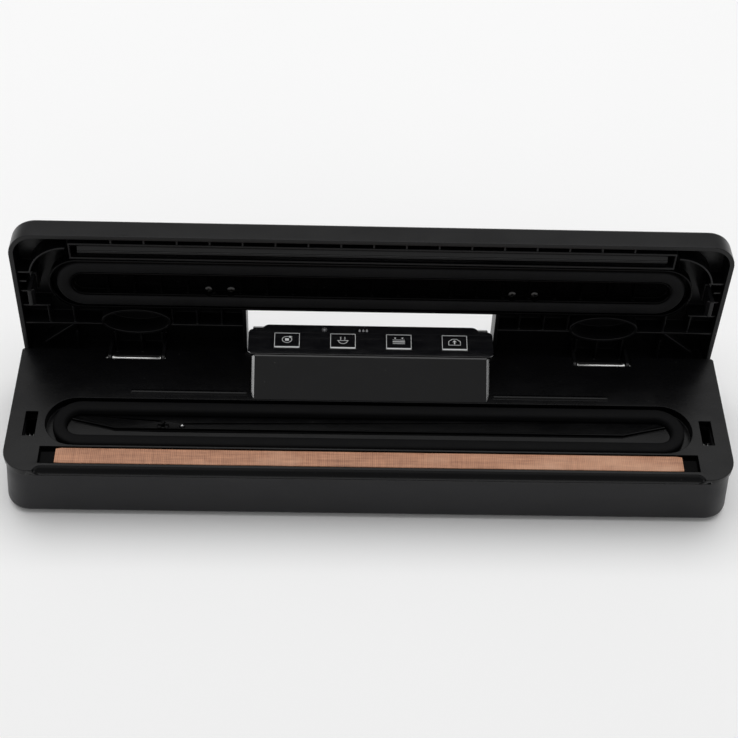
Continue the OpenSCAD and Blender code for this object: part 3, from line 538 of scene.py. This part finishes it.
# foam ring in the place of its CAD node; the one on the lid hangs from its foot
def foamRing(name, node, finish, body, onLid):
    lo, hi = closedBox(node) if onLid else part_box(node)
    outer = (hi.y - lo.y) / 2
    height = (hi.z - lo.z) - gasketLook["crown"] * mm
    centre = Vector(((lo.x + hi.x) / 2, (lo.y + hi.y) / 2, 0))
    straight = (hi.x - lo.x) / 2 - outer
    foot, way = (hi.z, -1) if onLid else (lo.z, 1)
    rings = []
    for at, out in stadiumPath(centre, straight):
        ring = []
        for away, up in foamSection(outer - gasketLook["bulge"] * mm, height):
            spot = at + out * away
            lift = gasketLook["ripple"] * mm * noise.noise(spot * 90) * (up / height)
            ring.append(Vector((spot.x, spot.y, foot + way * (up + lift))))
        rings.append(ring)
    verts, faces = joinRings(rings, closed=True)
    addPiece(name, verts, faces, finish, body, [node], onLid)


foamRing("lower_gasket_foam", "lower_gasket", "gasketFoam", "body", False)
foamRing("upper_gasket_foam", "upper_gasket", "lidGasketFoam", "lid", True)
print("gaskets made")


# the tape folds down over its last stretch and draws in a little there
tapeLook = {"thick": 0.25, "round": 0.5, "crown": 0.1, "wave": 0.06, "inset": 0.08, "stray": 0.05,
            "fold": 3.0, "drop": 0.12, "drawIn": 0.35, "steps": 220, "crowding": 0.035}


def wovenStrip():
    lo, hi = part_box("seal_tape")
    parts = ("thick", "crown", "wave", "inset", "stray", "fold", "drop", "drawIn")
    thick, crown, wave, inset, stray, foldLength, drop, drawIn = (tapeLook[k] * mm for k in parts)
    half, middle = (hi.y - lo.y) / 2 - inset, (lo.y + hi.y) / 2
    rings = []
    for i in range(tapeLook["steps"] + 1):
        # the last steps lie closer together, where the tape folds down
        t = i / tapeLook["steps"]
        x = lo.x + (hi.x - lo.x) * (t - math.sin(4 * math.pi * t) * tapeLook["crowding"])
        end = min(x - lo.x, hi.x - x)
        fold = max(0.0, 1 - end / foldLength)
        top = hi.z - crown - drop * fold ** 1.6
        top += wave * noise.noise(Vector((x * 60, 0, 0))) * (1 - fold)
        pull = stray * noise.noise(Vector((x * 45, 3, 0))) - drawIn * fold
        rings.append(stripSection(x, middle, half + pull, lo.z, top, thick))
    verts, faces = joinRings(rings)
    strip = addPiece("woven_seal_tape", verts, faces, "wovenTape", "body", ["seal_tape"])
    crease(strip, 50)


# one cross section of the tape: outside over the top, then back along the inside
def stripSection(x, middle, half, low, top, thick):
    r = tapeLook["round"] * mm
    crown = tapeLook["crown"] * mm

    def side(h, rr, low, top, rise):
        bend = [math.radians(a) for a in (0, 22, 45, 68, 90)]
        left = [(-h, low)] + [(-h + rr - rr * math.cos(a), top - rr + rr * math.sin(a)) for a in bend]
        mid = [((2 * t - 1) * (h - rr), top + rise * math.sin(math.pi * t)) for t in (0.25, 0.5, 0.75)]
        return left + mid + [(-y, z) for y, z in reversed(left)]

    outside = side(half, r, low, top, crown)
    inside = side(half - thick, r * 0.7, low, top - thick, crown)
    return [Vector((x, middle + y, z)) for y, z in outside + inside[::-1]]


wovenStrip()
print("seal tape made")


# half widths of the foot and the nose; groove levels are heights above the tip, from the top down
barLook = {"foot": 3.6, "nose": 0.9, "round": 0.8, "shoulder": 0.5, "shoulderUp": 1.8, "groove": 0.35,
           "grooveLevels": (3.4, 3.0, 2.5, 2.1), "wave": 0.04, "endTaper": 0.93, "steps": 90}


# soft pressing bar: rounded nose with a shallow groove down each flank
def pressingBar():
    lo, hi = closedBox("pressure_bar")
    y = (lo.y + hi.y) / 2
    tip = lo.z
    parts = ("foot", "nose", "round", "shoulder", "shoulderUp", "groove", "wave")
    foot, nose, r, shoulder, shoulderUp, groove, wave = (barLook[k] * mm for k in parts)
    levels = [tip + up * mm for up in barLook["grooveLevels"]]
    half = [(foot, hi.z)] + list(zip((foot, foot - groove, foot - groove, foot), levels))
    half += [(foot - shoulder + shoulder * math.cos(a), tip + shoulderUp - shoulder * math.sin(a))
             for a in (math.radians(d) for d in (0, 30, 60, 90))]
    half += [(nose - r + r * math.cos(a), tip + r - r * math.sin(a))
             for a in (math.radians(d) for d in (0, 22, 45, 67, 90))]
    section = half + [(-p, q) for p, q in reversed(half)]
    rings = []
    steps = barLook["steps"]
    for i in range(steps + 1):
        x = lo.x + (hi.x - lo.x) * i / steps
        taper = 1.0 if 0 < i < steps else barLook["endTaper"]
        ripple = wave * noise.noise(Vector((x * 70, 0, 5))) + 0.05 * mm
        # only the nose ripples; the flanks and the foot stay straight
        rings.append([Vector((x, y + p * taper, max(q, tip) + (ripple if q < tip + 1 * mm else 0)))
                      for p, q in section])
    verts, faces = joinRings(rings)
    pressed = addPiece(
        "soft_pressing_bar", verts, faces, "barRubber", "lid", ["pressure_bar"], True)
    crease(pressed, 40)


pressingBar()
print("pressing bar made")


# turned part: a profile of (distance along the axis, radius) spun about the axis
def spin(profile, at, axis, steps=32):
    turn = Vector((0, 0, 1)).rotation_difference(Vector(axis)).to_matrix()
    angles = [2 * math.pi * j / steps for j in range(steps)]
    circle = [(math.cos(a), math.sin(a)) for a in angles]
    rings = [[Vector(at) + turn @ Vector((radius * x, radius * y, along)) for x, y in circle]
             for along, radius in profile]
    return joinRings(rings)


# several meshes as one
def gather(groups):
    verts, faces = [], []
    for v, f in groups:
        base = len(verts)
        verts += v
        faces += [tuple(base + i for i in face) for face in f]
    return verts, faces


# box of each separate solid of a CAD node, for groups of equal parts; back undoes the lid's swing
def solidBoxes(node, back=None):
    me = frame["nodes"][node].data
    bm = bmesh.new()
    bm.from_mesh(me)
    if back:
        bm.transform(back)
    bmesh.ops.remove_doubles(bm, verts=bm.verts, dist=sameSpot)
    todo, boxes = set(bm.verts), []
    while todo:
        group, reached = set(), [next(iter(todo))]
        while reached:
            v = reached.pop()
            if v in group:
                continue
            group.add(v)
            reached += [e.other_vert(v) for e in v.link_edges]
        todo -= group
        lo = Vector([min(v.co[i] for v in group) for i in range(3)])
        hi = Vector([max(v.co[i] for v in group) for i in range(3)])
        boxes.append((lo, hi))
    bm.free()
    return sorted(boxes, key=lambda b: (round(b[0].x, 4), round(b[0].y, 4)))


pinLook = {"chamfer": 0.35, "collarRadius": 2.15, "collar": 0.8, "collarIn": 4.75, "edge": 0.2,
           "step": 0.3, "cone": 0.9}


# hinge pins with a flared collar just inside each lug
def hingePins():
    parts = ("chamfer", "collarRadius", "collar", "collarIn", "edge", "step", "cone")
    chamfer, big, wide, inset, edge, step, cone = (pinLook[k] * mm for k in parts)
    groups = []
    for lo, hi in solidBoxes("hinge_pins"):
        middle, r = (lo + hi) / 2, (hi.z - lo.z) / 2
        half = (hi.x - lo.x) / 2
        a = half - inset
        # from the middle of the pin outwards: shaft, cone, collar, edge, shaft, chamfered end
        side = [(a - wide - cone, r), (a - wide, big * 0.97), (a - edge, big), (a, big - edge),
                (a + step, r), (half - chamfer, r), (half, r - chamfer)]
        profile = [(-along, radius) for along, radius in reversed(side)] + side
        groups.append(spin(profile, (middle.x, hinge.y, middle.z), (1, 0, 0)))
    verts, faces = gather(groups)
    pins = addPiece("steel_hinge_pins", verts, faces, "steelDrawnX", "body", ["hinge_pins"])
    crease(pins, 40)


hingePins()


screwLook = {"dome": 0.35, "slot": 0.42, "reach": 1.35, "depth": 0.75, "thread": 0.6, "tip": 0.4,
             "shank": 1.2, "rim": 0.15, "headHeight": {"lid_screws": 1.2, "housing_screws": 2.0}}


# tapered cross, cut into the head from above
def crossCutter(at, axis, top):
    slot, reach, depth = (screwLook[k] * mm for k in ("slot", "reach", "depth"))
    outline = [(slot, slot), (slot, reach), (-slot, reach), (-slot, slot),
               (-reach, slot), (-reach, -slot), (-slot, -slot), (-slot, -reach),
               (slot, -reach), (slot, -slot), (reach, -slot), (reach, slot)]
    turn = Vector((0, 0, 1)).rotation_difference(Vector(axis)).to_matrix()
    rings = [[Vector(at) + turn @ Vector((x * k, y * k, z)) for x, y in outline]
             for z, k in ((top - depth, 0.55), (top + 1 * mm, 1.12))]
    return joinRings(rings)


def cutMesh(verts, faces, cutter):
    whole, tool = rawPiece("whole", verts, faces), rawPiece("tool", *cutter)
    cut = whole.modifiers.new("cut", "BOOLEAN")
    cut.operation = "DIFFERENCE"
    cut.solver = "EXACT"
    cut.object = tool
    evaluated = whole.evaluated_get(bpy.context.evaluated_depsgraph_get())
    shaped = evaluated.to_mesh()
    result = [v.co.copy() for v in shaped.vertices], [tuple(f.vertices) for f in shaped.polygons]
    evaluated.to_mesh_clear()
    for raw in (whole, tool):
        bpy.data.objects.remove(raw)
    return result


# cross-head screw: its head is on the side that axis points to, its seat is at the point given
def crossScrew(at, axis, headRadius, headHeight, shank):
    parts = ("dome", "thread", "tip", "shank", "rim")
    dome, pitch, tip, shankRadius, rim = (screwLook[k] * mm for k in parts)
    head = [(0, shankRadius), (0, headRadius - rim), (rim, headRadius),
            (headHeight - dome, headRadius), (headHeight - dome * 0.45, headRadius * 0.9),
            (headHeight - dome * 0.1, headRadius * 0.62), (headHeight, headRadius * 0.3)]
    thread = [(-shank, shankRadius * 0.55)]
    for i in range(int(shank / pitch)):
        low = -shank + tip + i * pitch
        if low + pitch < 0:
            thread += [(low, shankRadius * 0.86), (low + pitch * 0.5, shankRadius)]
    verts, faces = spin(thread + head, at, axis)
    return cutMesh(verts, faces, crossCutter(at, axis, headHeight))


# the heads point down in both groups, the lid's while it is closed
def screwGroup(name, node, body, finish, swing):
    headHeight = screwLook["headHeight"][node] * mm
    groups = []
    for lo, hi in solidBoxes(node, lidSwing.inverted() if swing else None):
        middle, radius = (lo + hi) / 2, (hi.x - lo.x) / 2
        seat = Vector((middle.x, middle.y, lo.z + headHeight))
        groups.append(crossScrew(seat, (0, 0, -1), radius, headHeight, hi.z - seat.z))
    verts, faces = gather(groups)
    screws = addPiece(name, verts, faces, finish, body, [node], swing)
    crease(screws, 35)


screwGroup("lid_cross_screws", "lid_screws", "lid", "blackenedSteel", True)
screwGroup("housing_cross_screws", "housing_screws", "body", "steelDrawnZ", False)
print("pins and screws made")


# wire is the radius of the wire
springLook = {"wire": 0.25, "sides": 8, "perTurn": 20}


# coil spring in the place of its CAD node
def coilSpring(node, along, turns, joint, fixedEnd):
    lo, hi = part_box(node)
    wire, steps = springLook["wire"] * mm, turns * springLook["perTurn"]
    sides = [2 * math.pi * k / springLook["sides"] for k in range(springLook["sides"])]
    middle, length = (lo + hi) / 2, hi[along] - lo[along]
    a, b = [i for i in range(3) if i != along]
    radius = (hi[a] - lo[a]) / 2 - wire
    ahead = Vector([float(i == along) for i in range(3)])
    rings = []
    for i in range(steps + 1):
        angle, t = 2 * math.pi * turns * i / steps, i / steps
        outward = Vector((0, 0, 0))
        outward[a], outward[b] = math.cos(angle), math.sin(angle)
        spot = middle + outward * radius + ahead * ((length - 2 * wire) * (t - 0.5))
        rings.append([spot + (outward * math.cos(c) + ahead * math.sin(c)) * wire for c in sides])
    verts, faces = joinRings(rings)
    coil = addPiece("coiled_" + node, verts, faces, "steelDrawnX", "body", [node])
    anchor = middle.copy()
    anchor[along] = fixedEnd
    travel = max(abs(v) for v in joints[joint]["range_m"])
    1 - travel / length
    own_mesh(coil)


coilSpring("left_latch_spring", 0, 5, "left_release_press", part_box("left_latch_spring")[1].x)
coilSpring("right_latch_spring", 0, 5, "right_release_press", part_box("right_latch_spring")[0].x)
coilSpring("valve_spring", 2, 4, "valve_press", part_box("valve_spring")[0].z)
print("springs made")


footLook = {"round": 0.7, "dish": 0.25, "taper": 0.3, "waist": 0.1, "dishOuter": 0.62, "dishInner": 0.5}


# rubber feet with a rounded rim and a shallow dish below
def rubberFeet():
    groups = []
    r, dish, taper, waist = (footLook[k] * mm for k in ("round", "dish", "taper", "waist"))
    for lo, hi in solidBoxes("feet"):
        middle = (lo + hi) / 2
        radius, height = (hi.x - lo.x) / 2, hi.z - lo.z
        profile = [(height, radius - taper), (height * 0.6, radius - waist)]
        profile += [(r - r * math.sin(a), radius - r + r * math.cos(a)) for a in
                    (math.radians(d) for d in (0, 25, 50, 75, 90))]
        profile += [(0, radius * footLook["dishOuter"]), (dish, radius * footLook["dishInner"]),
                    (dish, radius * 0.1)]
        groups.append(spin(profile[::-1], (middle.x, middle.y, lo.z), (0, 0, 1), 48))
    verts, faces = gather(groups)
    feet = addPiece("rubber_feet", verts, faces, "siliconeRubber", "body", ["feet"])
    crease(feet, 40)


rubberFeet()
print("feet made")


# the panel and its keys lean forward by this much
panelTilt = math.radians(6)
panelUp = Vector((0, -math.sin(panelTilt), math.cos(panelTilt)))
panelBack = Vector((0, math.cos(panelTilt), math.sin(panelTilt)))
# frame lines and their distance from the key's edge; the ink stands above the plane by its thickness
printLook = {"line": 0.28, "heavy": 0.85, "ink": 0.03, "edge": 0.47, "pictureLine": 0.34,
             "pictureTall": 0.78, "pictureUp": 0.1}


# middle of a node's top face, and its half width and half depth in its tilted plane
def topOf(node):
    spots = [v.co for v in frame["nodes"][node].data.vertices]
    top = max(p.dot(panelUp) for p in spots)
    upper = [p for p in spots if p.dot(panelUp) > top - 0.1 * mm]
    across = [p.dot(panelBack) for p in upper]
    xs = [p.x for p in upper]
    middle = Vector(((min(xs) + max(xs)) / 2, 0, 0)) + panelUp * top
    middle += panelBack * (min(across) + max(across)) / 2
    return middle, (max(xs) - min(xs)) / 2, (max(across) - min(across)) / 2


# flat printed shape on the panel's plane, from an outline in millimetres
def inkShape(origin, outline):
    base = [origin + Vector((x * mm, 0, 0)) + panelBack * y * mm for x, y in outline]
    rise = panelUp * printLook["ink"] * mm
    n = len(base)
    verts = [p - rise for p in base] + [p + rise for p in base]
    faces = [tuple(range(n - 1, -1, -1)), tuple(range(n, 2 * n))]
    faces += [(i, (i + 1) % n, n + (i + 1) % n, n + i) for i in range(n)]
    return verts, faces


# outline of a rectangle between two corners
def bar(x0, y0, x1, y1):
    return [(x0, y0), (x1, y0), (x1, y1), (x0, y1)]


# outline of a line of even width along the points
def stroke(points, width):
    left, right = [], []
    for i, (x, y) in enumerate(points):
        ax, ay = points[max(i - 1, 0)]
        bx, by = points[min(i + 1, len(points) - 1)]
        d = math.hypot(bx - ax, by - ay)
        nx, ny = -(by - ay) / d * width / 2, (bx - ax) / d * width / 2
        left.append((x + nx, y + ny))
        right.append((x - nx, y - ny))
    return left + right[::-1]


def arc(x, y, r, start, end, steps=20):
    turns = [math.radians(start + (end - start) * i / steps) for i in range(steps + 1)]
    return [(x + r * math.cos(a), y + r * math.sin(a)) for a in turns]


# round below, one point above
def dropOutline(x, y, r):
    return arc(x, y, r, -210, 30, 18) + [(x, y + r * 2.1)]


# one picture for each key, in millimetres from its middle
def keyPictures():
    w = printLook["pictureLine"]
    stopMark = [stroke(arc(0, 0.5, 2.5, 60, 400), w), bar(-1, -0.5, 1, 1.5),
                [(1.3, 3.6), (2.9, 2.6), (1.1, 1.9)]]
    foodMark = [stroke(arc(0, 0.1, 2.3, 180, 360) + [(2.3, 0.1)], w), stroke([(-3, 0.3), (3, 0.3)], w)]
    foodMark += [stroke([(x, 1), (x + 0.4, 1.8), (x, 2.6), (x + 0.4, 3.3)], w) for x in (-1.4, 0.8)]
    sealMark = [bar(-3.2, -0.35, 3.2, 0.35), stroke([(-3.2, 1.5), (3.2, 1.5)], w),
                stroke([(-3.2, -1.5), (3.2, -1.5)], w)]
    sealMark += [[(x - 0.6, 3.4), (x + 0.6, 3.4), (x, 2.3)] for x in (-1.9, 1.9)]
    bag = [(-3.1, -2), (-3.1, 1), (-1.2, 2.9), (1.2, 2.9), (3.1, 1), (3.1, -2), (-3.1, -2)]
    vacuumMark = [stroke(bag, w), bar(-0.3, -1.3, 0.3, 1), [(-1.1, 0.6), (1.1, 0.6), (0, 2)]]
    return dict(zip(keyNames, (stopMark, foodMark, sealMark, vacuumMark)))


# a frame with a heavy lower bar on each key, round its picture
def keyPrints():
    line, heavy, edge = (printLook[k] for k in ("line", "heavy", "edge"))
    for node, picture in keyPictures().items():
        middle, halfX, halfY = topOf(node)
        hx, hy = halfX / mm - edge, halfY / mm - edge
        shapes = [bar(-hx, hy - line, hx, hy), bar(-hx, -hy, hx, -hy + heavy),
                  bar(-hx, -hy, -hx + line, hy), bar(hx - line, -hy, hx, hy)]
        shapes += [[(x, y * printLook["pictureTall"] + printLook["pictureUp"]) for x, y in outline]
                   for outline in picture]
        verts, faces = gather([inkShape(middle, outline) for outline in shapes])
        addPiece(node + "_print", verts, faces, "inkWhite", node, smooth=False)


# in millimetres; behind is the distance from the middle of the food key to the row of marks
legendLook = {"behind": 7.4, "sunAt": -24.5, "sunRound": 0.62, "ray": (0.95, 1.45), "rayLine": 0.28,
              "dropsAt": -4, "dropApart": 1.9, "dropRound": 0.62, "dropDown": 0.4}


# small marks behind the food key: dry, shown as a sun, and moist, shown as drops
def panelPrints():
    panelAt, _, _ = topOf("control_panel")
    foodAt, _, _ = topOf("food_key")
    middle = foodAt - panelUp * (foodAt - panelAt).dot(panelUp)
    middle.x = 0
    row, sunX, dropX, apart = (legendLook[k] for k in ("behind", "sunAt", "dropsAt", "dropApart"))
    shapes = [arc(sunX, row, legendLook["sunRound"], 0, 342, 18)]
    for a in range(0, 360, 45):
        c, d = math.cos(math.radians(a)), math.sin(math.radians(a))
        ray = [(sunX + away * c, row + away * d) for away in legendLook["ray"]]
        shapes.append(stroke(ray, legendLook["rayLine"]))
    shapes += [dropOutline(dropX + dx, row - legendLook["dropDown"], legendLook["dropRound"])
               for dx in (-apart, 0, apart)]
    verts, faces = gather([inkShape(middle, outline) for outline in shapes])
    addPiece("panel_legend_print", verts, faces, "inkGrey", "body", smooth=False)


keyPrints()
panelPrints()
print("panel prints made")


# half the floor's width in metres, and how far it lies below the feet in millimetres
floorLook = {"half": 3.0, "below": 0.2, "dark": (0.9, 0.9, 0.9), "light": (0.93, 0.93, 0.93)}


def addFloor():
    me = bpy.data.meshes.new("floor")
    half = floorLook["half"]
    corners = [(x * half, y * half, 0) for x, y in ((-1, -1), (1, -1), (1, 1), (-1, 1))]
    me.from_pydata(corners, [], [(0, 1, 2, 3)])
    floor = bpy.data.objects.new("floor", me)
    floor.location.z = -floorLook["below"] * mm
    bpy.context.scene.collection.objects.link(floor)
    material, wire = newFinish("paleFloor")
    mottle = cloud(wire, place(wire), 0.35, 3)
    finishShader(wire, {
        "Base Color": blendColours(wire, mottle, floorLook["dark"], floorLook["light"]),
        "Roughness": 0.8 + mottle * 0.1})
    me.materials.append(material)


# metres and watts
softboxes = {
    "overheadSoftbox": {"at": (0.0, 0.45, 1.6), "aim": (0, 0.1, 0), "size": (2.2, 1.8), "power": 24},
    "leftSoftbox": {"at": (-1.3, 0.1, 0.1), "aim": (0, 0, 0.03), "size": (0.6, 0.24), "power": 3.2},
    "rightSoftbox": {"at": (1.3, 0.1, 0.1), "aim": (0, 0, 0.03), "size": (0.6, 0.24), "power": 2.2},
}
skyStrength = 0.4


def addLights():
    for name, look in softboxes.items():
        lamp = bpy.data.lights.new(name, "AREA")
        lamp.shape = "RECTANGLE"
        lamp.size, lamp.size_y = look["size"]
        lamp.energy = look["power"]
        holder = bpy.data.objects.new(name, lamp)
        holder.location = look["at"]
        holder.rotation_mode = "QUATERNION"
        holder.rotation_quaternion = (Vector(look["aim"]) - Vector(look["at"])).to_track_quat("-Z", "Y")
        bpy.context.scene.collection.objects.link(holder)


# a user's view from in front, slightly left of the middle; angles in degrees, lens in millimetres
cameraLook = {"lens": 73.17, "turn": -2.416, "down": 49.278, "roll": 2.7485,
              "at": (-0.02247, -0.50153, 0.64082)}


def addCamera():
    turn, down, roll = (math.radians(cameraLook[k]) for k in ("turn", "down", "roll"))
    right = Vector((math.cos(turn), math.sin(turn), 0))
    ahead = Vector((-math.sin(turn) * math.cos(down), math.cos(turn) * math.cos(down), -math.sin(down)))
    up = right.cross(ahead)
    rightRolled = math.cos(roll) * right + math.sin(roll) * up
    upRolled = math.cos(roll) * up - math.sin(roll) * right
    data = bpy.data.cameras.new("camera")
    data.lens = cameraLook["lens"]
    data.sensor_width = 36
    camera = bpy.data.objects.new("camera", data)
    axes = Matrix((rightRolled, upRolled, -ahead)).transposed().to_4x4()
    camera.matrix_world = Matrix.Translation(cameraLook["at"]) @ axes
    bpy.context.scene.collection.objects.link(camera)
    bpy.context.scene.camera = camera


def addWorld():
    world = bpy.data.worlds.new("studio")
    world.use_nodes = True
    sky = world.node_tree.nodes["Background"]
    sky.inputs["Color"].default_value = (1, 1, 1, 1)
    sky.inputs["Strength"].default_value = skyStrength
    bpy.context.scene.world = world


addFloor()
addWorld()
addLights()
addCamera()
bpy.context.scene.view_settings.view_transform = "Standard"
print("stage ready")
